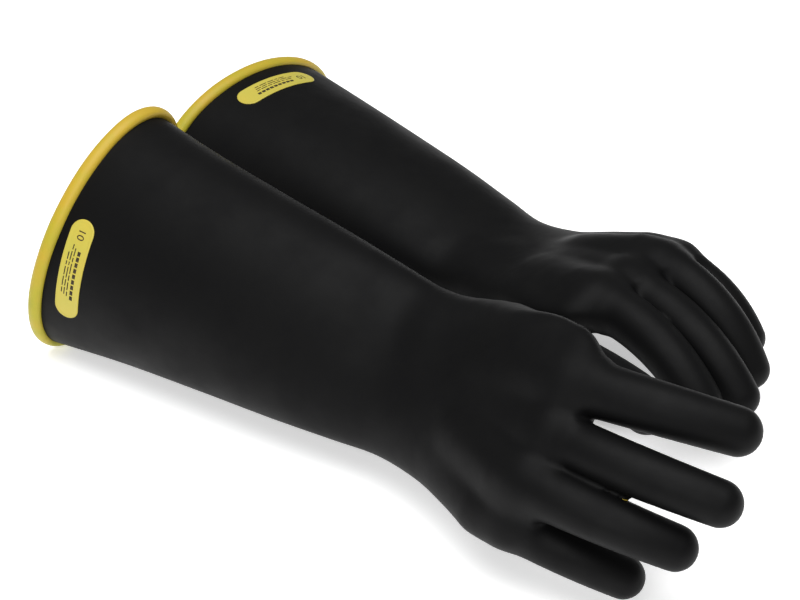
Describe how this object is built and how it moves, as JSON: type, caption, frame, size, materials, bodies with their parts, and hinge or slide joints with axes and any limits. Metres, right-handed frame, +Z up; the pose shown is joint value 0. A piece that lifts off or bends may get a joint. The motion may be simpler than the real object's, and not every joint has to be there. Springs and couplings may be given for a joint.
{
  "type": "electrical insulating gloves",
  "caption": "Pair of long rubber insulating gauntlet gloves: flared cuff with a rolled bead, narrow wrist, curved fingers and thumb, size patch on the cuff.",
  "frame": {"origin": "on the resting plane, under the middle of the pair's box", "axes": "+Z up from the resting plane, +X from the cuffs to the fingers, +Y from the right glove to the left glove"},
  "size_m": [0.5062, 0.3258, 0.1431],
  "materials": {
    "black_rubber": "satin",
    "yellow_rubber": "satin",
    "label_print": "satin"
  },
  "bodies": {
    "left_glove": {"left_outer_shell": "black_rubber", "left_inner_liner": "yellow_rubber", "left_cuff_bead": "yellow_rubber", "left_label": "label_print"},
    "right_glove": {"right_outer_shell": "black_rubber", "right_inner_liner": "yellow_rubber", "right_cuff_bead": "yellow_rubber", "right_label": "label_print"}
  },
  "joints": [
    {"name": "right_glove_lift", "type": "slide", "parent": "left_glove", "child": "right_glove", "axis": [0, 0, 1], "range_m": [0, 0.25]}
  ]
}
